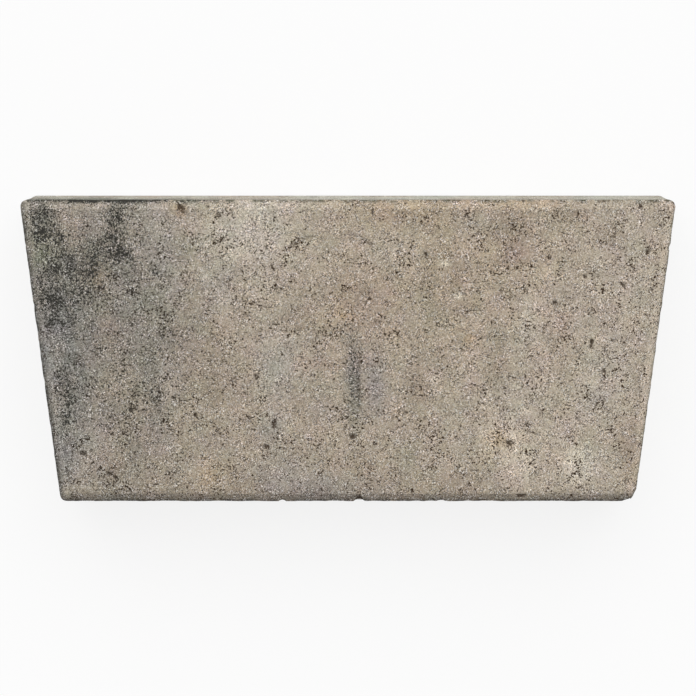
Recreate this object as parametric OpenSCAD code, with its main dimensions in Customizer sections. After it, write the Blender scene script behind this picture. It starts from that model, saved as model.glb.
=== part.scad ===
// Wedge-shaped mowing edge stone, pressed from concrete in one piece.
// It lies on its bed with the chamfered running face up, and +Y points to its long side.
// Stones laid all one way round make a curve, and stones laid turn about make a straight row.

/* [Stone] */
// Length of the long side, measured to where the faces would meet
long_side = 260; // [200:1:330]
// Distance between the long side and the short side
depth = 120; // [90:1:180]
// Height from the bed to the running face
thickness = 45; // [35:1:80]
// Lean of each end against a square end, in degrees
end_lean = 7.5; // [0:0.5:12]

/* [Edges] */
// Radius of the upright corners
corner_r = 3; // [1:0.5:10]
// Width of the chamfer, seen from above
chamfer_w = 3.4; // [1:0.1:8]
// Drop of the chamfer below the running face
chamfer_h = 2; // [0.5:0.1:6]

/* [Hidden] */
$fn = 64;

// Half of the stone's length at a place across its depth
function half_length(y) = long_side / 2 - (depth / 2 - y) * tan(end_lean);

// Where a corner radius is centred, on the long side (1) or the short side (-1)
function corner_y(side) = side * (depth / 2 - corner_r);
function corner_x(side) = half_length(corner_y(side)) - corner_r / cos(end_lean);

// How far a cutter reaches past the faces that it cuts
cut_clear = 5;
cut_length = max(long_side, depth / cos(end_lean)) + 2 * cut_clear;

// Long side, short side and both ends: a point on each and the heading of its outward normal
top_edges = [
    [[0, depth / 2], 90],
    [[0, -depth / 2], -90],
    [[half_length(0), 0], -end_lean],
    [[-half_length(0), 0], 180 + end_lean]
];

// Plan of the stone: straight sides that run into the round corners
module plan() {
    for (end = [-1, 1], side = [-1, 1])
        translate([end * corner_x(side), corner_y(side)])
            circle(r = corner_r);
    long_x = corner_x(1);
    short_x = corner_x(-1);
    turn_x = corner_r * cos(end_lean);
    turn_y = corner_r * sin(end_lean);
    polygon([
        [long_x, depth / 2],
        [-long_x, depth / 2],
        [-long_x - turn_x, corner_y(1) - turn_y],
        [-short_x - turn_x, corner_y(-1) - turn_y],
        [-short_x, -depth / 2],
        [short_x, -depth / 2],
        [short_x + turn_x, corner_y(-1) - turn_y],
        [long_x + turn_x, corner_y(1) - turn_y]
    ]);
}

// What is taken off one top edge, which runs along Y with the stone on its -X side
module chamfer_cut() {
    rise = cut_clear * chamfer_h / chamfer_w;
    rotate([90, 0, 0])
        linear_extrude(height = cut_length, center = true)
            polygon([
                [-chamfer_w - cut_clear, thickness + rise],
                [cut_clear, thickness - chamfer_h - rise],
                [cut_clear, thickness + rise]
            ]);
}

module edge_stone() {
    color("#A09484")
        difference() {
            linear_extrude(height = thickness)
                plan();
            for (edge = top_edges)
                translate(edge[0])
                    rotate(edge[1])
                        chamfer_cut();
        }
}

edge_stone();
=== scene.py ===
# Mowing edge stone: a wedge of pressed concrete that lies on its bed and is looked at from above.
import bpy
import math
import numpy as np
from itertools import product
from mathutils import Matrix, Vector


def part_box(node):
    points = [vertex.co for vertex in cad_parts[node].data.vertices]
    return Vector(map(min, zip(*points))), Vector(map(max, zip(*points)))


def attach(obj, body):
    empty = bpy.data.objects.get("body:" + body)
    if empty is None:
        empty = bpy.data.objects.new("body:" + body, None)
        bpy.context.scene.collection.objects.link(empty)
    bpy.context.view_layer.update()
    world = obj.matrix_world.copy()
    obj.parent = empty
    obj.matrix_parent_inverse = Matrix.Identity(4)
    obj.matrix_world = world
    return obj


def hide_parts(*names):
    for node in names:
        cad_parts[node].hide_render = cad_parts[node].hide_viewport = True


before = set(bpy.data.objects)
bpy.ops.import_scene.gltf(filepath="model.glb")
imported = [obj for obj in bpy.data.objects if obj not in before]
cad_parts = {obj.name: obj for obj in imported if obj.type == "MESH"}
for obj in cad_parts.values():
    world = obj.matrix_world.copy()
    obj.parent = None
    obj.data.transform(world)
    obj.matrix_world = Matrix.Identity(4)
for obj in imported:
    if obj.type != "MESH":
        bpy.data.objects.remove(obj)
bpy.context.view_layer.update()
stoneLow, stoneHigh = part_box("edge_stone")
mm = 0.001
depth = (stoneHigh.y - stoneLow.y) / mm
thickness = (stoneHigh.z - stoneLow.z) / mm
print("frame loaded, stone is", round(depth, 1), "mm deep and", round(thickness, 1), "mm thick")


def linear(hexColour):
    # sRGB hex to linear: a straight toe below 0.04045, a power of 2.4 above it
    parts = np.array([int(hexColour[i:i + 2], 16) for i in (1, 3, 5)]) / 255
    return np.where(parts <= 0.04045, parts / 12.92, ((parts + 0.055) / 1.055) ** 2.4)


def addNode(tree, kind, inputs=None, **settings):
    # adds a node with its settings: an input that is a node or a socket is linked to it,
    # and any other is set as a value
    made = tree.nodes.new(kind)
    for name, value in settings.items():
        setattr(made, name, value)
    for name, value in (inputs or {}).items():
        if isinstance(value, bpy.types.Node):
            value = value.outputs[0]
        if isinstance(value, bpy.types.NodeSocket):
            tree.links.new(value, made.inputs[name])
        else:
            made.inputs[name].default_value = value
    return made


def newMaterial(name):
    # a material by this name and its tree, with all nodes taken out
    made = bpy.data.materials.new(name)
    made.use_nodes = True
    made.node_tree.nodes.clear()
    return made, made.node_tree


def seenDirectly(tree):
    # 1 where the eye, a mirror or glass looks at the surface, 0 where it only lights other things
    path = addNode(tree, "ShaderNodeLightPath").outputs
    eye = addNode(tree, "ShaderNodeMath", {0: path["Is Camera Ray"], 1: path["Is Glossy Ray"]},
                  operation="MAXIMUM")
    return addNode(tree, "ShaderNodeMath", {0: eye, 1: path["Is Transmission Ray"]}, operation="MAXIMUM")


# The view: a long lens above the stone, tipped a little towards its long side
view = {
    "distance": 1383.0,  # mm from the middle of the running face
    "tilt": 4.5,  # degrees from straight down
    "aim": (0.1, 1.3),  # mm from the middle of the running face
    "focal": 180.7,  # mm
    "sensor": 36.0,  # mm wide
    "farthest": 50.0,  # m, well past the edge of the floor
}

# The studio: one broad soft lamp from the long side, even light from all round, a white floor
studio = {
    "lampStrength": 2.3,
    "lampHeight": 48.0,  # degrees above the floor
    "lampSpread": 80.0,  # degrees across, as wide as a big softbox
    "roundLight": 0.42,
    "floorColour": "#f4f4f4",
    "floorGlow": 0.82,  # how much of the white is the floor's own to the eye, the rest holds the shadow
    "floorWidth": 12.0,  # m
}


def makeCamera():
    # stands off its aim by the distance, on a line that leans from straight up by the tilt
    tilt = math.radians(view["tilt"])
    aim = Vector((view["aim"][0] * mm, view["aim"][1] * mm, stoneHigh.z))
    away = Vector((0, math.sin(tilt), math.cos(tilt)))
    data = bpy.data.cameras.new("aboveStone")
    data.lens = view["focal"]
    data.sensor_width = view["sensor"]
    data.clip_end = view["farthest"]
    camera = bpy.data.objects.new("aboveStone", data)
    camera.location = aim + away * view["distance"] * mm
    camera.rotation_euler = (-tilt, 0, 0)  # looks down with +Y up in the picture
    bpy.context.scene.collection.objects.link(camera)
    bpy.context.scene.camera = camera


def makeLights():
    # a sun as broad as a softbox, turned up from straight down until it has its height above the floor
    lamp = bpy.data.lights.new("softLamp", "SUN")
    lamp.energy = studio["lampStrength"]
    lamp.angle = math.radians(studio["lampSpread"])
    holder = bpy.data.objects.new("softLamp", lamp)
    holder.rotation_euler = (math.radians(studio["lampHeight"] - 90), 0, 0)
    bpy.context.scene.collection.objects.link(holder)

    # even light for the stone, plain white where it is looked at
    world = bpy.data.worlds.new("roundLight")
    world.use_nodes = True
    tree = world.node_tree
    tree.nodes.clear()
    strength = addNode(tree, "ShaderNodeMapRange", {
        "Value": seenDirectly(tree), "To Min": studio["roundLight"]})
    sky = addNode(tree, "ShaderNodeBackground", {"Color": (1, 1, 1, 1), "Strength": strength})
    addNode(tree, "ShaderNodeOutputWorld", {"Surface": sky})
    bpy.context.scene.world = world


def makeFloor():
    # a flat square, level with the bed of the stone
    half = studio["floorWidth"] / 2
    mesh = bpy.data.meshes.new("floor")
    corners = [(-half, -half, 0), (half, -half, 0), (half, half, 0), (-half, half, 0)]
    mesh.from_pydata(corners, [], [(0, 1, 2, 3)])
    floor = bpy.data.objects.new("floor", mesh)
    bpy.context.scene.collection.objects.link(floor)

    # matt white board: paint that also glows, to the eye alone, so that it stays white beside a shadow
    board, tree = newMaterial("mattWhiteBoard")
    share = addNode(tree, "ShaderNodeMath", {0: seenDirectly(tree), 1: studio["floorGlow"]},
                    operation="MULTIPLY")
    paint = addNode(tree, "ShaderNodeBsdfDiffuse", {"Color": (*linear(studio["floorColour"]), 1)})
    glow = addNode(tree, "ShaderNodeEmission", {"Color": (1, 1, 1, 1), "Strength": 1.0})
    mix = addNode(tree, "ShaderNodeMixShader", {0: share, 1: paint, 2: glow})
    addNode(tree, "ShaderNodeOutputMaterial", {"Surface": mix})
    mesh.materials.append(board)


# What can be changed on the stone's shape, in millimetres and degrees
stone = {
    "longSide": 260.0,  # to where the long side and the ends would meet
    "endLean": 7.5,  # of each end against a square one
    "cornerRadius": 3.0,
    "chamferWidth": 3.4,
    "chamferDrop": 2.0,
    "creaseSoftness": 0.16,  # how far the chamfer's inner edge is rubbed round, as a share of its width
    "rows": 169,  # across the running face, one more than a multiple of bedSkip
    "columns": 365,  # along it, likewise
    "sideRows": 20,  # from the arris down to the bed
    "bedSkip": 4,  # the bed keeps every fourth row and column of the running face
    "grainSize": 1.7,  # sand that stands out of the paste
    "grainHeight": 0.06,
    "waveSize": 26.0,  # slow unevenness from the press plate
    "waveHeight": 0.12,
    "dragSize": 3.2,  # upright marks from when the stone was pushed out of its mould
    "dragHeight": 0.35,
    "dragStretch": 4.0,  # how many times as long as wide they are
    "bedGrain": 4.0,  # lumps of the rough bed
    "bedHeight": 0.6,
    "bedRim": 0.01,  # side points lower than this keep the bed's rim flat
    "arrisWear": 0.22,  # how far the edges are nibbled back
    "arrisReach": 2.4,  # how wide a strip along the edges shares in that
    "arrisGrain": 3.0,  # length of a nibble
    "nibbleGain": 2.4,  # how sharply the nibbles stand out
    "nibbleLevel": 0.7,  # the higher, the fewer of them
    "arrisDrop": 0.5,  # how far down the edges are drawn, against how far in
    "chipStretch": 2.0,  # how many times as far a chip reaches down as along the arris
    "bubbleSpacing": 6.5,
    "bubbleRadius": (0.4, 1.2),
    "bubbleShare": 0.4,  # of the cells that hold a bubble
    "bubbleRarity": 3,  # the higher, the fewer large ones
    "bubbleCut": 0.8,  # how deep it is cut, against its half chord
    "darkDepth": 0.45,  # a hole this deep gets the full painted shade and dirt
}

# Pits in the running face: place from its middle, half length, half width, turn and depth
pits = [
    (-65.7, 56.6, 2.0, 1.3, 124, 1.1),
    (-29.2, -29.0, 2.0, 1.2, 80, 1.1),
    (-32.2, -38.0, 1.8, 1.2, 150, 0.5),
    (2.0, -33.9, 1.2, 1.0, 13, 0.9),
    (-92.2, -50.5, 1.2, 0.9, 143, 1.0),
    (-94.5, -49.0, 1.6, 0.8, 163, 1.0),
    (-110.9, -21.4, 1.4, 0.8, 70, 0.7),
    (-105.0, -40.6, 1.6, 1.0, 160, 0.7),
    (-85.9, -23.4, 1.5, 0.9, 80, 0.8),
    (-51.0, 53.8, 1.2, 1.0, 50, 0.7),
    (79.6, 37.2, 1.1, 0.8, 100, 0.8),
    (118.4, 39.2, 1.5, 0.8, 62, 0.9),
    (108.9, 26.1, 1.9, 0.7, 128, 0.8),
    (96.6, 3.0, 2.0, 0.8, 84, 1.0),
    (81.9, 19.3, 1.4, 0.8, 130, 0.7),
    (64.3, -36.5, 1.6, 1.1, 160, 1.0),
    (70.7, -29.5, 2.0, 1.2, 13, 0.3),
    (4.5, -59.0, 1.4, 1.6, 0, 1.4),
    (101.6, -7.6, 1.1, 0.8, 60, 0.6),
    (-60.5, -25.3, 1.1, 0.8, 114, 0.6),
    (9.8, 55.5, 0.6, 2.6, 0, 0.4),
    (69.0, -57.5, 2.2, 0.9, 5, 0.8),
]

# Chips out of the arris: place, radius and how far it is drawn in
chips = [
    (4.5, -60.0, 2.2, 0.9),
    (-26.0, -60.0, 1.5, 0.6),
    (113.4, -59.4, 4.5, 1.0),
    (-124.6, 18.0, 1.6, 0.2),
    (127.5, 41.0, 1.4, 0.4),
    (37.0, -60.0, 2.0, 0.4),
]

# Seeds of the noises: of the shape, of the running face's colours and of the sides' colours
seeds = {
    "grain": 11,
    "wave": 21,
    "bubble": 31,
    "drag": 41,
    "bed": 51,
    "arris": 61,
    "dash": 81,
    "dashStep": 7,  # from each edge to the next
    "ragged": 100,
    "patchy": 200,
    "setStep": 10,  # from each ragged or patchy noise to the next
    "streak": 301,
    "lump": 311,
    "sidePatch": 401,
    "sideStreak": 411,
    "sideDark": 421,
    "sideHang": 431,
}

onFace, onSide, onBed = 0, 1, 2  # which surface a point belongs to
lean = math.radians(stone["endLean"])
sideNormals = np.array([  # of the long side, the short side, the right end and the left end
    [0, 1, 0],
    [0, -1, 0],
    [math.cos(lean), -math.sin(lean), 0],
    [-math.cos(lean), -math.sin(lean), 0],
])


def halfLength(y):
    # half of the stone's length at a place across its depth: less by the lean's tangent for each
    # millimetre towards the short side
    return stone["longSide"] / 2 - (depth / 2 - y) * math.tan(lean)


def endOutline(count):
    # the right end from the long side to the short side, evenly spaced: a circle of the corner's radius
    # whose centre slides from one corner to the other, so that it draws an arc, a straight and an arc
    radius = stone["cornerRadius"]
    cornerY = depth / 2 - radius
    cornerX = [halfLength(y) - radius / math.cos(lean) for y in (cornerY, -cornerY)]
    firstArc = radius * (math.pi / 2 + lean)
    lastArc = radius * (math.pi / 2 - lean)
    straight = 2 * cornerY / math.cos(lean)
    way = np.linspace(0, firstArc + straight + lastArc, count)
    turned = np.clip(way, 0, firstArc) + np.clip(way - firstArc - straight, 0, lastArc)
    heading = math.pi / 2 - turned / radius
    slid = np.clip((way - firstArc) / straight, 0, 1)
    x = cornerX[0] + (cornerX[1] - cornerX[0]) * slid + radius * np.cos(heading)
    y = cornerY - 2 * cornerY * slid + radius * np.sin(heading)
    return x, y, heading


def sideDistance(points):
    # how far a point lies inside the long side, the short side, the right end and the left end
    x, y = points[:, 0], points[:, 1]
    toEnd = halfLength(y) * math.cos(lean)
    return np.stack([depth / 2 - y, depth / 2 + y, toEnd - x * math.cos(lean), toEnd + x * math.cos(lean)])


# Large odd numbers that scatter the draws, and how many bits of them are kept
cellFactors = np.array([73856093, 19349663, 83492791])
seedFactor = 40503
mixFactor = 1274126177
keptBits = 0xffffffff
drawBits = 0xffffff


def lotDraw(cells, seed):
    # a number from 0 to 1 for each whole-numbered cell, the same each time: products with the factors,
    # mixed by shifts
    n = cells @ cellFactors + seed * seedFactor
    n = (n ^ (n >> 13)) & keptBits
    n = (n * mixFactor) & keptBits
    n = (n ^ (n >> 16)) & drawBits
    return n / (drawBits + 1)


def smoothNoise(points, size, seed):
    # numbers drawn on a lattice of this size and blended smoothly between its corners, 0 to 1
    place = points / size
    cell = np.floor(place).astype(np.int64)
    part = place - cell
    part = part * part * (3 - 2 * part)
    total = np.zeros(len(points))
    for corner in product((0, 1), repeat=3):
        share = np.prod(np.where(corner, part, 1 - part), axis=-1)
        total += share * lotDraw(cell + np.array(corner), seed)
    return total


def clouds(points, size, seed):
    # three sizes of smooth noise, each half as large and half as strong as the one before, 0 to 1
    layers = [smoothNoise(points, size / 2 ** k, seed + k) / 2 ** k for k in range(3)]
    return sum(layers) / 1.75  # 1 and a half and a quarter


def bubbleDepth(points, seed):
    # air bubbles strewn through the concrete, at most one to a cell: half the chord where the surface
    # cuts one, the root of its radius squared less the distance squared
    spacing = stone["bubbleSpacing"]
    least, most = stone["bubbleRadius"]
    cell = np.floor(points / spacing).astype(np.int64)
    deepest = np.zeros(len(points))
    for step in product((-1, 0, 1), repeat=3):
        home = cell + np.array(step)
        middle = (home + np.stack([lotDraw(home, seed + k) for k in range(3)], axis=-1)) * spacing
        radius = least + (most - least) * lotDraw(home, seed + 3) ** stone["bubbleRarity"]
        radius = radius * (lotDraw(home, seed + 4) < stone["bubbleShare"])
        chord = np.maximum(radius ** 2 - ((points - middle) ** 2).sum(axis=-1), 0)
        deepest = np.maximum(deepest, np.sqrt(chord))
    return deepest


def ovalDistance(points, x, y, halfLong, halfWide, turn):
    # distance from an oval's middle in its own turned axes, 1 at its rim
    angle = math.radians(turn)
    dx = points[:, 0] - x
    dy = points[:, 1] - y
    along = (dx * math.cos(angle) + dy * math.sin(angle)) / halfLong
    across = (dy * math.cos(angle) - dx * math.sin(angle)) / halfWide
    return np.hypot(along, across)


def pitDepth(points):
    # each listed pit is a bowl: its depth times the root of one less the square of the distance
    deepest = np.zeros(len(points))
    for x, y, halfLong, halfWide, turn, deep in pits:
        away = ovalDistance(points, x, y, halfLong, halfWide, turn)
        deepest = np.maximum(deepest, deep * np.sqrt(np.maximum(1 - away ** 2, 0)))
    return deepest


def arrisPull(points, kind):
    # how far the edges are drawn in: noise times the square of the share of the reach that is left,
    # and chips, one less the square of the distance in radii, which are longer down than along
    fromTop = thickness - stone["chamferDrop"] - points[:, 2]
    near = np.where(kind == onSide, fromTop, sideDistance(points).min(axis=0))
    fade = np.clip(1 - near / stone["arrisReach"], 0, 1) ** 2 * (kind != onBed)
    nibbles = clouds(points, stone["arrisGrain"], seeds["arris"]) * stone["nibbleGain"] - stone["nibbleLevel"]
    pull = fade * np.clip(nibbles, 0, 1) * stone["arrisWear"]
    for x, y, radius, far in chips:
        apart = (points - [x, y, thickness - stone["chamferDrop"]]) * [1, 1, 1 / stone["chipStretch"]]
        pull += far * np.maximum(1 - (apart ** 2).sum(axis=-1) / radius ** 2, 0) * (kind != onBed)
    return pull


def squares(grid):
    # the four corners of each square between neighbouring rows and columns, anticlockwise
    return np.stack([grid[:-1, :-1], grid[1:, :-1], grid[1:, 1:], grid[:-1, 1:]], axis=-1).reshape(-1, 4)


def ringOf(grid):
    # the outer points of a grid in four legs, anticlockwise from above:
    # left end, short side, right end, long side
    return [grid[:-1, 0], grid[-1, :-1], grid[:0:-1, -1], grid[0, :0:-1]]


def rimFaces(rim, bedGrid, skip):
    # strips from the fine rim to the coarse bed: two coarse steps of the rim share a corner of the bed,
    # and each other step meets one step of the bed
    bedRing = np.concatenate(ringOf(bedGrid))
    faces = []
    start = 0
    inner = 0
    for leg in ringOf(bedGrid):
        corner = np.take(rim, range(start - skip, start + skip + 1), mode="wrap")
        faces.append([*corner[::-1].tolist(), int(bedRing[inner])])
        for k in range(len(leg)):
            outer = np.take(rim, range(start + skip * (k + 1), start + skip * (k + 2) + 1), mode="wrap")
            pair = np.take(bedRing, [inner + k, inner + k + 1], mode="wrap")
            faces.append([*outer[::-1].tolist(), *pair.tolist()])
        start += skip * (len(leg) + 2)
        inner += len(leg)
    return faces


# Where the surfaces lie on the map for baking, in millimetres of a square picture
bakeMap = {
    "width": 264.0,
    "margin": 2.0,
    "sideScale": 0.68,  # the sides and the bed are drawn smaller than the running face
    "bedScale": 0.60,
}


def bakePlaces(points, index, sides, bedFaces):
    # each corner's place as a share of the map: the running face at the top, below it the sides unrolled
    # in two halves, at the bottom the bed as it is seen from below
    width, margin = bakeMap["width"], bakeMap["margin"]
    sideScale, bedScale = bakeMap["sideScale"], bakeMap["bedScale"]
    plan = points[:, :2] + [width / 2, width - margin - depth / 2]
    places = [plan[squares(index).ravel()]]
    top = width - depth - 2 * margin
    for side in sides:
        step = np.linalg.norm(np.diff(points[side[0], :2], axis=0), axis=-1)
        along = margin + sideScale * np.concatenate([[0], np.cumsum(step)])
        u = np.broadcast_to(along, side.shape)
        v = top - sideScale * (thickness - points[side, 2])
        places.append(np.stack([squares(u), squares(v)], axis=-1).reshape(-1, 2))
        top -= sideScale * thickness + margin
    below = points[np.concatenate(bedFaces), :2] * [-bedScale, bedScale]
    places.append(below + [width / 2, margin + bedScale * depth / 2])
    return np.concatenate(places) / width


def makeStone():
    # one closed mesh of the running face, the sides and the bed, with the relief cut in from the plain form
    rows, columns, skip = stone["rows"], stone["columns"], stone["bedSkip"]

    # running face: each row is a line across from one end's outline to the other's, lowered near the edges
    # by the chamfer, a ramp from 1 on the arris to 0 at the crease that is rubbed round there
    endX, endY, heading = endOutline(rows)
    x = (endX[:, None] * np.linspace(-1, 1, columns)).ravel()
    y = np.repeat(endY, columns)
    face = np.stack([x, y, np.zeros_like(x)], axis=-1)
    ramp = 1 - sideDistance(face).min(axis=0) / stone["chamferWidth"]
    ramp = (ramp + np.sqrt(ramp ** 2 + stone["creaseSoftness"] ** 2)) / 2
    face[:, 2] = thickness - stone["chamferDrop"] * ramp

    # sides: the outline carried straight down to the bed, with the way that each point looks
    index = np.arange(rows * columns).reshape(rows, columns)
    ring = np.concatenate(ringOf(index))
    endWay = np.stack([np.cos(heading), np.sin(heading), np.zeros(rows)], axis=-1)
    outward = np.concatenate([
        endWay[:-1] * [-1, 1, 1],
        np.tile([0.0, -1.0, 0.0], (columns - 1, 1)),
        endWay[:0:-1],
        np.tile([0.0, 1.0, 0.0], (columns - 1, 1)),
    ])
    down = np.linspace(0, 1, stone["sideRows"] + 1)[1:]
    walls = np.repeat(face[ring][None], len(down), axis=0)
    walls[:, :, 2] *= 1 - down[:, None]
    walls = walls.reshape(-1, 3)

    # bed: a coarser copy of the running face, one coarse step in from the outline
    coarse = index[skip:-skip:skip, skip:-skip:skip]
    bed = face[coarse.ravel()] * [1, 1, 0]

    points = np.concatenate([face, walls, bed])
    kind = np.repeat([onFace, onSide, onBed], [len(face), len(walls), len(bed)])
    inward = np.concatenate([
        np.tile([0.0, 0.0, -1.0], (len(face), 1)),
        np.tile(-outward, (len(down), 1)),
        np.tile([0.0, 0.0, 1.0], (len(bed), 1)),
    ])

    # relief cut inwards: sand and bubbles all over, pits and slow waves on the running face,
    # drag marks on the sides, lumps on the bed
    bubbles = stone["bubbleCut"] * bubbleDepth(points, seeds["bubble"])
    hole = np.maximum(bubbles, pitDepth(points) * (kind == onFace))
    relief = hole + smoothNoise(points, stone["grainSize"], seeds["grain"]) * stone["grainHeight"]
    drawn = points * [1, 1, 1 / stone["dragStretch"]]
    relief += np.choose(kind, [
        clouds(points, stone["waveSize"], seeds["wave"]) * stone["waveHeight"],
        clouds(drawn, stone["dragSize"], seeds["drag"]) * stone["dragHeight"],
        clouds(points, stone["bedGrain"], seeds["bed"]) * stone["bedHeight"],
    ])
    rimPoint = (kind == onSide) & (points[:, 2] < stone["bedRim"])
    relief[rimPoint] = 0.0  # the bed's rim stays flat on the floor
    hole[rimPoint] = 0.0

    # the arris is drawn in and a little down
    away = -sideNormals[sideDistance(points).argmin(axis=0)]
    away[kind == onSide] = inward[kind == onSide]
    away = away - [0, 0, stone["arrisDrop"]]
    moved = points + inward * relief[:, None] + away * arrisPull(points, kind)[:, None]

    # faces: squares over the running face, down the two halves of the sides and over the bed, then the rim
    wallGrid = np.concatenate([ring[None], (np.arange(len(walls)) + len(face)).reshape(len(down), -1)])
    wallGrid = np.concatenate([wallGrid, wallGrid[:, :1]], axis=1)
    half = len(ring) // 2
    sides = [wallGrid[:, :half + 1], wallGrid[:, half:]]
    bedGrid = (np.arange(len(bed)) + len(face) + len(walls)).reshape(coarse.shape)
    bedFaces = squares(bedGrid)[:, ::-1].tolist() + rimFaces(wallGrid[-1, :-1], bedGrid, skip)
    faces = squares(index).tolist() + squares(sides[0]).tolist() + squares(sides[1]).tolist() + bedFaces

    mesh = bpy.data.meshes.new("edgeStone")
    mesh.from_pydata(moved * mm, [], faces)
    mesh.polygons.foreach_set("use_smooth", np.ones(len(mesh.polygons), bool))
    places = bakePlaces(points, index, sides, bedFaces)
    mesh.uv_layers.new(name="OFBake").uv.foreach_set("vector", places.astype(np.float32).ravel())
    mesh.update()
    piece = bpy.data.objects.new("edgeStone", mesh)
    bpy.context.scene.collection.objects.link(piece)
    print("stone made of", len(points), "points and", len(faces), "faces")
    return piece, points, kind, hole


# Colours of the concrete, as the dry stone shows them
palette = {
    "paste": "#b4a591",  # the warm grey of the running face
    "side": "#bab8a8",  # the greener grey of the sides
    "bed": "#a09a8d",  # a darker grey, out of sight on the floor
    "soot": "#272620",  # charcoal shading, pressed into the face with the mix; also the dark of the painted shade along the short side's and left end's arris
    "slate": "#7c7d77",  # the grey of the charcoal end
    "dusk": "#7b7b80",  # bluer than slate
    "moss": "#84876f",  # greener than slate
    "sand": "#b9a88f",  # a little warmer than the paste
    "ochre": "#bb9a6b",  # yellower than the paste
    "rose": "#ae9284",  # redder than the paste
    "umber": "#85745f",  # brown stains
    "cream": "#cfc5b4",  # pale and warm
    "ash": "#b5b2ab",  # pale and grey
    "lilac": "#8d8a8c",  # grey with a breath of violet
    "chalk": "#dfdcd8",  # the palest sand
    "milk": "#efe3cf",  # pale flecks
    "olive": "#4a4a35",  # grime and painted shade along the edges and below them on the sides
    "rust": "#7d5c36",  # a rusty spot round one pit
    "gap": "#301f0a",  # brownish painted shade in the gaps between the grains, in hairline cracks and in the pits
}

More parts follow.
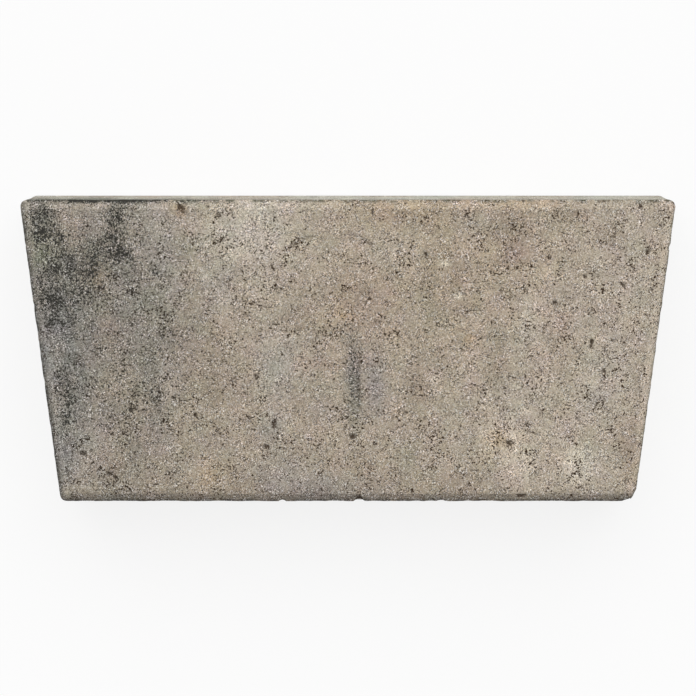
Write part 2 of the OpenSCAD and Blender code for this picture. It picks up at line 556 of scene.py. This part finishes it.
# Cloudy colouring of the running face: colour, place from its middle, half width, half height,
# turn and strength
dabs = [
    # broad washes
    ("slate", -112, 10, 42, 80, 0, 0.72),
    ("slate", -80, 12, 18, 44, 0, 0.32),
    ("cream", 98, 8, 46, 70, 0, 0.34),
    ("rose", 95, 5, 44, 60, 0, 0.10),
    ("cream", 76, -38, 28, 22, 0, 0.34),
    ("cream", -38, 46, 20, 12, 0, 0.85),
    ("ochre", 35, 30, 45, 36, 0, 0.12),
    ("sand", 26, 42, 24, 9, 0, 0.35),
    ("ochre", 72, 34, 28, 34, 0, 0.08),
    ("umber", 22, -50, 40, 12, 0, 0.16),
    # the shaded end
    ("dusk", -117, 7, 8, 22, 0, 0.36),
    ("dusk", -113, -40, 7, 18, 0, 0.50),
    ("dusk", -75, -32, 4, 8, 0, 0.35),
    ("moss", -121, 39, 6, 6, 0, 0.75),
    ("moss", -97, 16, 5, 6, 0, 0.40),
    ("moss", -75, 18, 6, 15, 0, 0.32),
    ("moss", -62, 40, 6, 8, 0, 0.30),
    ("ash", -74, 49, 6, 10, 0, 0.40),
    ("ash", -70, 24, 5, 9, 0, 0.35),
    ("ash", -73, 36, 4, 5, 0, 0.45),
    ("rose", -107, 51, 8, 7, 20, 0.34),
    ("slate", -94, 54, 24, 5, 0, 0.24),
    ("sand", -112, 44, 5, 6, 0, 0.35),
    ("umber", -98, 32, 5, 7, 60, 0.40),
    ("ochre", -99, 28, 4, 5, 0, 0.25),
    ("rose", -95, 7, 8, 9, 0, 0.40),
    ("sand", -90, -14, 8, 16, 0, 0.45),
    ("rose", -98, -44, 8, 9, 0, 0.35),
    ("cream", -98, -38, 9, 11, 0, 0.22),
    ("umber", -92, -48, 4, 4, 0, 0.45),
    ("umber", -84, -38, 18, 22, 0, 0.20),
    # the middle
    ("cream", -46, 45, 12, 8, 0, 0.75),
    ("cream", -31, 54, 14, 7, 0, 0.55),
    ("cream", -32, 27, 8, 9, 0, 0.35),
    ("ash", -50, 24, 8, 12, 0, 0.30),
    ("ash", -28, -7, 9, 18, 0, 0.40),
    ("umber", -58, -4, 16, 26, 0, 0.22),
    ("umber", -42, -54, 10, 5, 0, 0.42),
    ("umber", -50, -18, 6, 8, 0, 0.22),
    ("umber", -72, -54, 14, 5, 0, 0.22),
    ("umber", -20, 13, 5, 6, 0, 0.35),
    ("sand", -65, -26, 6, 6, 0, 0.30),
    ("cream", -70, -13, 5, 7, 0, 0.30),
    ("ochre", 20, 55, 22, 6, 0, 0.22),
    ("umber", 24, 53, 14, 4, 0, 0.14),
    ("umber", 38, 38, 5, 5, 0, 0.35),
    ("umber", 36, 28, 9, 7, 0, 0.25),
    ("cream", 15, 40, 14, 10, 0, 0.34),
    ("moss", 33, 14, 10, 12, 0, 0.22),
    ("rose", 6, 17, 10, 16, 0, 0.30),
    ("ochre", 0, 16, 6, 12, 0, 0.20),
    ("rose", -12, -4, 7, 6, 0, 0.28),
    ("dusk", -10, -22, 6, 9, 0, 0.28),
    ("umber", -20, -20, 5, 6, 0, 0.25),
    ("umber", 60, -3, 5, 10, 0, 0.35),
    ("dusk", 2, -8, 4, 18, 0, 0.50),
    ("moss", 3, -26, 4, 12, 0, 0.35),
    ("lilac", 11, -14, 5, 14, 0, 0.50),
    ("umber", 28, -15, 6, 14, 0, 0.28),
    ("ochre", -54, -49, 6, 6, 0, 0.32),
    ("lilac", -28, -50, 12, 9, 0, 0.48),
    ("dusk", -12, -53, 12, 6, 0, 0.25),
    ("lilac", -30, -30, 5, 8, 0, 0.35),
    ("dusk", 0, -56, 20, 5, 0, 0.30),
    ("moss", 26, -41, 5, 8, 0, 0.35),
    ("umber", 10, -47, 7, 6, 0, 0.30),
    ("umber", 40, -54, 16, 6, 0, 0.24),
    # the pale end
    ("rose", 67, 40, 6, 6, 0, 0.50),
    ("rose", 84, 8, 6, 10, 0, 0.28),
    ("umber", 65, 46, 11, 12, 0, 0.24),
    ("cream", 50, 52, 7, 5, 0, 0.30),
    ("cream", 72, 10, 6, 12, 0, 0.48),
    ("cream", 102, -6, 10, 18, 0, 0.30),
    ("sand", 85, -9, 7, 15, 0, 0.30),
    ("milk", 60, -36, 7, 7, 0, 0.55),
    ("ochre", 60, -36, 6, 6, 0, 0.50),
    ("cream", 92, -45, 6, 7, 0, 0.95),
    ("milk", 91, -45, 7, 7, 0, 0.50),
    ("milk", 70, -44, 7, 7, 0, 0.50),
    ("umber", 112, -38, 5, 18, 0, 0.42),
    ("ochre", 77, -42, 18, 14, 0, 0.13),
    ("cream", 68, -18, 8, 12, 0, 0.20),
    ("lilac", 98, -18, 5, 5, 0, 0.30),
    ("cream", 113, 38, 13, 18, 0, 0.24),
    ("umber", 104, 45, 6, 7, 0, 0.34),
    ("umber", 90, 54, 6, 5, 0, 0.28),
    # along the long side's chamfer
    ("ochre", -67, 57, 4, 4, 0, 0.40),
    ("rust", -66, 56.5, 2.5, 2, 120, 0.50),
    ("cream", -65, 59, 4, 1.6, 0, 0.85),
    ("cream", -28, 59, 34, 3, 0, 0.25),
    ("ochre", 58, 59, 48, 3, 0, 0.18),
    ("umber", 62, 54, 36, 2, 0, 0.20),
    # pale flecks, and hairline cracks and small hollows with painted shade in them
    ("milk", 43.6, 22, 2, 1.3, 20, 0.95),
    ("milk", 38, 34.5, 2.4, 1.2, 10, 0.85),
    ("gap", 31, 38.5, 1.8, 1.0, 120, 0.95),
    ("milk", 34.5, -11, 2.4, 1.3, 20, 0.85),
    ("ochre", 48.5, 5, 2.6, 2, 0, 0.50),
    ("ochre", -2, 14, 1.8, 1, 0, 0.60),
    ("milk", 65.2, -33.4, 1.2, 1.8, 0, 0.95),
    ("milk", 71.5, -24, 2, 1.3, 0, 0.70),
    ("milk", -56.3, 29, 2, 1.2, 0, 0.90),
    ("milk", -47.4, 19.6, 1.6, 1, 0, 0.80),
    ("gap", -22, 42, 4.4, 0.7, 39, 0.85),
    ("gap", -14.7, 45.4, 4, 0.7, 8, 0.80),
    ("gap", 2, 46, 3, 0.6, -12, 0.55),
    ("gap", 7.5, 43.5, 3, 0.6, -37, 0.65),
    ("gap", 4.3, -12, 12, 0.7, 92, 0.75),
]

# Charcoal clouds: place, half width, half height, turn and strength
sootClouds = [
    (-112, 30, 22, 28, 0, 0.24),
    (-92, -14, 34, 56, 0, 0.18),
    (-120, 54, 5, 5, 0, 0.50),
    (-122, 46, 4, 6, 0, 0.42),
    (-91, 53, 6, 5, 120, 0.58),
    (-99, 60, 36, 1.3, 0, 0.90),
    (-96, 40, 14, 6, 0, 0.32),
    (-93, 45, 7, 3, 0, 0.42),
    (-108, 37, 8, 6, 0, 0.22),
    (-102, 31, 3, 2, 20, 0.20),
    (-88, 38, 7, 5, 0, 0.36),
    (-80, 45, 6, 5, 0, 0.20),
    (-115, 44, 6, 5, 0, 0.28),
    (-75, 31, 4, 2, 0, 0.50),
    (-118, 32, 6, 4, 0, 0.30),
    (-121, 24, 5, 12, 0, 0.34),
    (-113, 20, 10, 13, 0, 0.28),
    (-82, 24, 8, 8, 0, 0.08),
    (-111, -17, 6, 15, 0, 0.32),
    (-113, -30, 4, 10, 0, 0.12),
    (-84, -8, 7, 9, 0, 0.06),
    (-68, 6, 6, 9, 0, 0.14),
    (-77, -20, 4, 10, 0, 0.14),
    (2, -9, 3, 15, 0, 0.42),
]

# How the edges are grimed and given painted shade and a painted highlight, in millimetres: long side, short
# side, right end, left end
edgeGrimeAndPaintedLight = {
    # a dark band in dashes along each arris, part grime and part painted shade
    "strength": (0.90, 0.90, 0.80, 1.0),
    "cover": (0.5, 0.85, 0.85, 0.85),  # share of the arris that it covers
    "dash": (5.0, 2.5, 2.5, 2.5),  # how sharply it starts and stops along it
    "dashSize": 2.6,
    "width": (1.3, 1.2, 0.8, 1.4),
    "fullness": 1.3,  # more than 1 keeps the arris itself full
    "colour": ("olive", "soot", "olive", "soot"),
    "chamferToneAndShade": (-0.02, -0.34, 0.28, -0.04),  # of the chamfer against the running face; the short side's darker tone is painted shade
    "rise": 5.0,  # how soon the chamfer takes that tone, from the crease outwards
    "crease": (0.10, 0.0, 0.06, 0.36),  # how much paler still its inner end is: a painted highlight along the crease
    "creasePlace": 0.95,  # from the arris, as a share of the chamfer's width
    "creaseWidth": 0.2,
    "linePlace": 0.9,  # a faint dark line, from the crease inwards
    "lineWidth": 0.7,
    "lineTone": 0.09,
    "wiped": 0.4,  # share of the charcoal that is off the left end's chamfer
    "wipedRise": 3.0,
}

# How the sides are coloured, sizes in millimetres; a draw below 1 stretches a noise upright
sideGrimeAndShade = {
    "patch": 16.0,  # where the warm paste shows
    "patchDraw": 0.5,
    "patchGain": 3.0,  # how sharply the patches stand out
    "patchLevel": 1.0,  # the higher, the fewer of them
    "patchStrength": 0.7,
    "streak": 5.0,
    "streakDraw": 0.15,
    "streakContrast": 0.12,
    "darkPlace": -124.0,  # where along the stone the charcoal end is darkest
    "darkReach": 56.0,
    "darkCloud": 8.0,
    "darkDraw": 0.6,
    "darkStrength": 0.75,
    "hang": (3.0, 16.0),  # how far the darkening of grime and painted shade hangs down from the arris, least and most
    "hangCloud": 6.0,
    "hangStrength": 0.55,
    "hangFurther": 1.4,  # how much further down it hangs at the charcoal end
    "hangStronger": 0.45,  # and how much stronger it is there
}

# How the colouring of the running face is broken up, sizes in millimetres
faceClouds = {
    "sets": 4,  # noises that the dabs and clouds use in turn
    "ragged": 10.0,  # lumps in their outlines
    "patchy": 5.0,  # gaps in their bodies
    "patchyDraw": 0.45,  # below 1 it stretches the noise from the short side to the long one
    "streak": 6.0,  # upright streaks over all of the face
    "streakDraw": 0.2,
    "streakLeast": 0.92,
    "streakRange": 0.16,
    "sootBody": (0.25, 0.5),  # how full the charcoal clouds are, and how patchy
    "lump": 4.0,  # lumps in the charcoal
    "lumpDraw": 0.6,
    "lumpContrast": 0.8,
    "evenGrey": 0.3,  # share of the charcoal so fine that it greys the paste evenly
}

# How a dab or cloud fades from its middle, as shares of its own size and strength
dabFade = {
    "stretch": 0.6,  # of the distance, before the ragged noise
    "ragged": 0.8,  # what that noise adds
    "fall": 1.2,
    "body": 0.4,  # of the strength, before the patchy noise
    "patchy": 1.2,  # what that noise adds
    "most": 1.2,
}


def bell(distance, width):
    # 1 in the middle, falling as the exponential of minus the square of the distance in widths
    return np.exp(-(distance / width) ** 2)


def tinge(base, colour, share):
    # moves the colour of each point towards one of the palette, by the point's own share
    base += share[:, None] * (linear(palette[colour]) - base)


def softOval(points, x, y, halfWide, halfHigh, turn, ragged, patchy):
    # full in the middle and fading as a bell does, with a ragged edge and a patchy body
    away = ovalDistance(points, x, y, halfWide, halfHigh, turn)
    away = away * (dabFade["stretch"] + dabFade["ragged"] * ragged)
    body = np.clip(dabFade["body"] + dabFade["patchy"] * patchy, 0, dabFade["most"])
    return np.exp(-dabFade["fall"] * away ** 2) * body


def paintEdges(spots, face):
    # chamfers of their own tone, with painted shade on the short side's and a painted highlight at the
    # crease, dark dashes along the arris that are part grime and part painted shade, a faint line inside the
    # crease;
    # gives back how far out each point is on each chamfer, 0 to 1
    inside = sideDistance(spots)
    slope = np.clip(1 - inside / stone["chamferWidth"], 0, 1)
    for k in range(len(inside)):
        # each chamfer's own tone, and painted shade on the short side's
        face *= 1 + edgeGrimeAndPaintedLight["chamferToneAndShade"][k] * np.clip(edgeGrimeAndPaintedLight["rise"] * slope[k], 0, 1)[:, None]
        # the arris's dark dashes: part grime, part painted shade
        rim = np.clip(edgeGrimeAndPaintedLight["fullness"] - inside[k] / edgeGrimeAndPaintedLight["width"][k], 0, 1)
        noise = clouds(spots, edgeGrimeAndPaintedLight["dashSize"], seeds["dash"] + seeds["dashStep"] * k)
        dashes = edgeGrimeAndPaintedLight["cover"][k] + edgeGrimeAndPaintedLight["dash"][k] * (noise - 0.5)
        # a painted highlight along the crease
        fromCrease = inside[k] / stone["chamferWidth"] - edgeGrimeAndPaintedLight["creasePlace"]
        face *= 1 + edgeGrimeAndPaintedLight["crease"][k] * bell(fromCrease, edgeGrimeAndPaintedLight["creaseWidth"])[:, None]
        tinge(face, edgeGrimeAndPaintedLight["colour"][k], edgeGrimeAndPaintedLight["strength"][k] * rim * np.clip(dashes, 0, 1))
    fromLine = inside.min(axis=0) - stone["chamferWidth"] - edgeGrimeAndPaintedLight["linePlace"]
    face *= 1 - edgeGrimeAndPaintedLight["lineTone"] * bell(fromLine, edgeGrimeAndPaintedLight["lineWidth"])[:, None]
    return slope


def paintFace(spots, face):
    # dabs laid over each other, upright streaks, the edges, and last the charcoal, which is given back:
    # one less the product of what each cloud leaves clear, broken into lumps
    sets = faceClouds["sets"]
    steps = [seeds["setStep"] * k for k in range(sets)]
    drawn = spots * [1, faceClouds["patchyDraw"], 1]
    ragged = [clouds(spots, faceClouds["ragged"], seeds["ragged"] + step) for step in steps]
    patchy = [clouds(drawn, faceClouds["patchy"], seeds["patchy"] + step) for step in steps]
    for i, (colour, *place, strength) in enumerate(dabs):
        tinge(face, colour, strength * softOval(spots, *place, ragged[i % sets], patchy[i % sets]))
    streak = clouds(spots * [1, faceClouds["streakDraw"], 1], faceClouds["streak"], seeds["streak"])
    face *= faceClouds["streakLeast"] + faceClouds["streakRange"] * streak[:, None]
    slope = paintEdges(spots, face)

    clear = np.ones(len(spots))
    fullness, patchiness = faceClouds["sootBody"]
    for i, (*place, strength) in enumerate(sootClouds):
        body = fullness + patchiness * patchy[-1 - i % sets]
        clear *= 1 - strength * softOval(spots, *place, ragged[i % sets], body)
    lumps = clouds(spots * [1, faceClouds["lumpDraw"], 1], faceClouds["lump"], seeds["lump"])
    shaded = np.clip((1 - clear) * (1 + faceClouds["lumpContrast"] * (lumps - 0.5)), 0, 1)
    shaded *= 1 - edgeGrimeAndPaintedLight["wiped"] * np.clip(edgeGrimeAndPaintedLight["wipedRise"] * slope[-1], 0, 1)
    tinge(face, "slate", faceClouds["evenGrey"] * shaded)
    return shaded


def paintSides(spots, side):
    # warm paste in patches, upright streaks, darker towards the charcoal end and, with grime and painted
    # shade, below the arris
    patch = clouds(spots * [1, 1, sideGrimeAndShade["patchDraw"]], sideGrimeAndShade["patch"], seeds["sidePatch"])
    warm = np.clip(sideGrimeAndShade["patchGain"] * patch - sideGrimeAndShade["patchLevel"], 0, 1)
    tinge(side, "paste", sideGrimeAndShade["patchStrength"] * warm)
    streak = clouds(spots * [1, 1, sideGrimeAndShade["streakDraw"]], sideGrimeAndShade["streak"], seeds["sideStreak"])
    side *= 1 + sideGrimeAndShade["streakContrast"] * (2 * streak - 1)[:, None]

    dark = bell(spots[:, 0] - sideGrimeAndShade["darkPlace"], sideGrimeAndShade["darkReach"])
    cloud = clouds(spots * [1, 1, sideGrimeAndShade["darkDraw"]], sideGrimeAndShade["darkCloud"], seeds["sideDark"])
    tinge(side, "soot", sideGrimeAndShade["darkStrength"] * dark * cloud * spots[:, 2] / thickness)

    # grime and painted shade hanging down from the arris, further and stronger at the charcoal end
    least, most = sideGrimeAndShade["hang"]
    cloud = clouds(spots * [1, 1, 0], sideGrimeAndShade["hangCloud"], seeds["sideHang"])
    reach = (least + (most - least) * cloud) * (1 + sideGrimeAndShade["hangFurther"] * dark)
    fromTop = thickness - stone["chamferDrop"] - spots[:, 2]
    strength = sideGrimeAndShade["hangStrength"] + sideGrimeAndShade["hangStronger"] * dark
    tinge(side, "olive", strength * bell(fromTop, reach))


def paintStone(piece, points, kind, hole):
    # the colouring that follows the stone, one value to a point: paste colour, charcoal,
    # and how deep the hollows are, for their painted shade and dirt
    tint = np.array([linear(palette[name]) for name in ("paste", "side", "bed")])[kind]
    soot = np.zeros(len(points))
    top = kind == onFace
    wall = kind == onSide
    face = tint[top]
    side = tint[wall]
    soot[top] = paintFace(points[top], face)
    paintSides(points[wall], side)
    tint[top] = face
    tint[wall] = side
    tint = np.concatenate([tint, np.ones((len(tint), 1))], axis=-1)
    # how deep each hole is, as a share, for the painted shade and dirt in it
    hollow = np.clip(hole / stone["darkDepth"], 0, 1)
    layers = [
        ("tint", "FLOAT_COLOR", "color", tint),
        ("soot", "FLOAT", "value", soot),
        ("hollow", "FLOAT", "value", hollow),
    ]
    for name, form, field, values in layers:
        layer = piece.data.attributes.new(name, form, "POINT")
        layer.data.foreach_set(field, values.astype(np.float32).ravel())
    print("stone painted with", len(dabs), "dabs and", len(sootClouds), "charcoal clouds")


# What the surface shows close up, sizes in millimetres; a range is of the noise or draw that it reads
grain = {
    "sand": 0.3,  # fine sand, all of one size
    "sandContrast": 0.75,  # how much darker than the paste a grain can be
    "sandLift": 0.6,  # how much paler it can be, as a share of that
    "darkShare": 0.3,  # of the grains that are darker still: dark sand, and painted shade between the grains
    "darkest": 0.05,  # tone of the darkest of them
    "paleShare": 0.3,  # of the grains that are pale as chalk
    "paleCover": 1.0,  # how far the palest of them hide the paste
    "patch": 4.5,  # where the paste closes over the sand
    "patchRange": (0.38, 0.60),
    "leastSand": 0.45,  # how much of the sand still shows there
    "grit": 0.5,  # coarser grains in the bump, in the pits and under the charcoal
    "clumping": 0.5,  # how far the charcoal follows the grit and not the sand
    "mottle": 9.0,  # slow changes of tone and hue
    "mottleRange": (0.25, 0.75),
    "mottleContrast": 0.13,
    "hueContrast": 0.16,
    "speck": 0.72,  # painted shade in the gaps between the grains
    "speckLevel": 0.645,  # the higher, the more of them
    "speckEdge": 0.02,  # how softly they begin
    "speckTone": 0.0,  # how much of the paste still shows in them
    "speckRim": 1.15,  # the edge of a gap catches the light
    "rimRange": (0.03, 0.12),  # past the speckLevel
    "swarm": 6.0,  # size of a swarm of them
    "swarming": 0.55,  # how far the gaps gather in swarms
    "crumbs": 0.13,  # how much more the gaps open where there is charcoal
    "gapSoot": 3.0,  # how soon the brownish painted shade in them turns to charcoal there
    "holeRagged": 0.65,  # how unevenly the pits darken
    "holeRange": (0.25, 0.75),
    "holeTone": 0.12,  # how much of the paste still shows in the darkest
    "fleckEdge": 0.07,  # how softly a fleck of charcoal begins
    "gritHeight": 0.35,  # against the depth of a gap
    "bumpHeight": 0.12,
    "bumpStrength": 0.6,
    "roughness": 0.92,
}


def makeConcrete():
    # pressed concrete, damp sand and cement squeezed in a steel mould: dull paste without any shine,
    # peppered with pale and dark sand and with pinholes
    concrete, tree = newMaterial("pressedConcrete")
    place = addNode(tree, "ShaderNodeTexCoord").outputs["Object"]
    tint = addNode(tree, "ShaderNodeAttribute", attribute_name="tint")
    soot = addNode(tree, "ShaderNodeAttribute", attribute_name="soot").outputs["Fac"]
    hollow = addNode(tree, "ShaderNodeAttribute", attribute_name="hollow").outputs["Fac"]
    chalk, charcoal, gapShade = [(*linear(palette[name]), 1) for name in ("chalk", "soot", "gap")]

    # sand: each grain draws its own tone, and a share of them is much darker or paler than the paste;
    # the darkest are partly painted shade between the grains
    sand = addNode(tree, "ShaderNodeTexVoronoi", {"Vector": place, "Scale": 1 / (grain["sand"] * mm)})
    sandLot = addNode(tree, "ShaderNodeSeparateColor", {"Color": sand.outputs["Color"]}).outputs
    body = addNode(tree, "ShaderNodeMapRange", {
        "Value": sandLot[0], "To Min": 1 - grain["sandContrast"],
        "To Max": 1 + grain["sandLift"] * grain["sandContrast"]})
    dark = addNode(tree, "ShaderNodeMapRange", {
        "Value": sandLot[1], "From Max": grain["darkShare"], "To Min": grain["darkest"]})
    shade = addNode(tree, "ShaderNodeMath", {0: body, 1: dark}, operation="MULTIPLY")
    patch = addNode(tree, "ShaderNodeTexNoise", {
        "Vector": place, "Scale": 1 / (grain["patch"] * mm), "Detail": 3.0, "Roughness": 0.6})
    closed, bare = grain["patchRange"]
    sandShow = addNode(tree, "ShaderNodeMapRange", {
        "Value": patch, "From Min": closed, "From Max": bare, "To Min": grain["leastSand"]})
    shade = addNode(tree, "ShaderNodeMix", {0: sandShow, 2: 1.0, 3: shade})
    pale = addNode(tree, "ShaderNodeMapRange", {
        "Value": sandLot[1], "From Min": 1 - grain["paleShare"], "To Max": grain["paleCover"]})
    pale = addNode(tree, "ShaderNodeMath", {0: pale, 1: sandShow}, operation="MULTIPLY")
    ground = addNode(tree, "ShaderNodeMix", {0: pale, 6: tint, 7: chalk}, data_type="RGBA").outputs[2]

    # mottling: slow changes of tone and hue
    mottle = addNode(tree, "ShaderNodeTexNoise", {
        "Vector": place, "Scale": 1 / (grain["mottle"] * mm), "Detail": 4.0, "Roughness": 0.65})
    low, high = grain["mottleRange"]
    mottleTone = addNode(tree, "ShaderNodeMapRange", {
        "Value": mottle, "From Min": low, "From Max": high,
        "To Min": 1 - grain["mottleContrast"], "To Max": 1 + grain["mottleContrast"]})
    shade = addNode(tree, "ShaderNodeMath", {0: shade, 1: mottleTone}, operation="MULTIPLY")
    hue = addNode(tree, "ShaderNodeVectorMath", {
        0: mottle.outputs["Color"], 1: (grain["hueContrast"],) * 3, 2: (1 - grain["hueContrast"] / 2,) * 3},
        operation="MULTIPLY_ADD")
    ground = addNode(tree, "ShaderNodeVectorMath", {0: ground, 1: hue}, operation="MULTIPLY")

    # specks: painted shade in gaps of any shape, a painted highlight on their rims, in loose swarms, thicker
    # in the charcoal
    swarm = addNode(tree, "ShaderNodeTexNoise", {
        "Vector": place, "Scale": 1 / (grain["swarm"] * mm), "Detail": 4.0, "Roughness": 0.7})
    gap = addNode(tree, "ShaderNodeTexNoise", {
        "Vector": place, "Scale": 1 / (grain["speck"] * mm), "Detail": 2.5, "Roughness": 0.6})
    speckLot = addNode(tree, "ShaderNodeMath", {0: swarm, 1: grain["swarming"], 2: gap},
                       operation="MULTIPLY_ADD")
    speckLot = addNode(tree, "ShaderNodeMath", {0: soot, 1: -grain["crumbs"], 2: speckLot},
                       operation="MULTIPLY_ADD")
    level = grain["speckLevel"]
    speckTone = addNode(tree, "ShaderNodeMapRange", {
        "Value": speckLot, "From Min": level, "From Max": level + grain["speckEdge"],
        "To Min": grain["speckTone"]})
    rimStart, rimEnd = grain["rimRange"]
    # painted highlight on the rim of each gap
    rimHighlight = addNode(tree, "ShaderNodeMapRange", {
        "Value": speckLot, "From Min": level + rimStart, "From Max": level + rimEnd,
        "To Min": grain["speckRim"], "To Max": 1.0})
    shade = addNode(tree, "ShaderNodeMath", {0: shade, 1: rimHighlight}, operation="MULTIPLY")

    # pits: painted shade and dirt inside, broken where single grains of the grit still show
    grit = addNode(tree, "ShaderNodeTexVoronoi", {"Vector": place, "Scale": 1 / (grain["grit"] * mm)})
    gritLot = addNode(tree, "ShaderNodeSeparateColor", {"Color": grit.outputs["Color"]}).outputs
    holeGrain = addNode(tree, "ShaderNodeMapRange", {
        "Value": gritLot[2], "To Min": 1 - grain["holeRagged"], "To Max": 1 + grain["holeRagged"]})
    holeLot = addNode(tree, "ShaderNodeMath", {0: hollow, 1: holeGrain}, operation="MULTIPLY")
    low, high = grain["holeRange"]
    holeTone = addNode(tree, "ShaderNodeMapRange", {
        "Value": holeLot, "From Min": low, "From Max": high, "To Min": 1.0, "To Max": grain["holeTone"]})

    # charcoal clings to single grains: the more of it, the more grains it covers
    fleckLot = addNode(tree, "ShaderNodeMix", {0: grain["clumping"], 2: sandLot[2], 3: gritLot[1]})
    fleckGap = addNode(tree, "ShaderNodeMath", {0: soot, 1: fleckLot}, operation="SUBTRACT")
    fleck = addNode(tree, "ShaderNodeMapRange", {
        "Value": fleckGap, "From Min": -grain["fleckEdge"], "From Max": grain["fleckEdge"]},
        interpolation_type="SMOOTHSTEP")
    paste = addNode(tree, "ShaderNodeMix", {0: fleck, 6: ground, 7: charcoal}, data_type="RGBA").outputs[2]
    paste = addNode(tree, "ShaderNodeVectorMath", {0: paste, "Scale": shade}, operation="SCALE")

    # gaps and pits show a brownish painted shade, with dirt in the pits, or charcoal where that has filled
    # them
    sooted = addNode(tree, "ShaderNodeMath", {0: soot, 1: grain["gapSoot"]}, operation="MULTIPLY")
    below = addNode(tree, "ShaderNodeMix", {0: sooted, 6: gapShade, 7: charcoal}, data_type="RGBA").outputs[2]
    whole = addNode(tree, "ShaderNodeMath", {0: speckTone, 1: holeTone}, operation="MULTIPLY")
    colour = addNode(tree, "ShaderNodeMix", {0: whole, 6: below, 7: paste}, data_type="RGBA").outputs[2]

    height = addNode(tree, "ShaderNodeMath", {0: gritLot[0], 1: grain["gritHeight"], 2: speckTone},
                     operation="MULTIPLY_ADD")
    bump = addNode(tree, "ShaderNodeBump", {
        "Height": height, "Strength": grain["bumpStrength"], "Distance": grain["bumpHeight"] * mm})
    shader = addNode(tree, "ShaderNodeBsdfPrincipled", {
        "Base Color": colour, "Roughness": grain["roughness"], "Normal": bump})
    addNode(tree, "ShaderNodeOutputMaterial", {"Surface": shader})
    print("concrete made of", len(tree.nodes), "nodes")
    return concrete


makeCamera()
makeLights()
makeFloor()
print("camera, light and floor set")
piece, points, kind, hole = makeStone()
paintStone(piece, points, kind, hole)
piece.data.materials.append(makeConcrete())

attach(piece, "root")
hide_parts("edge_stone")
bpy.context.scene.view_settings.view_transform = "Standard"
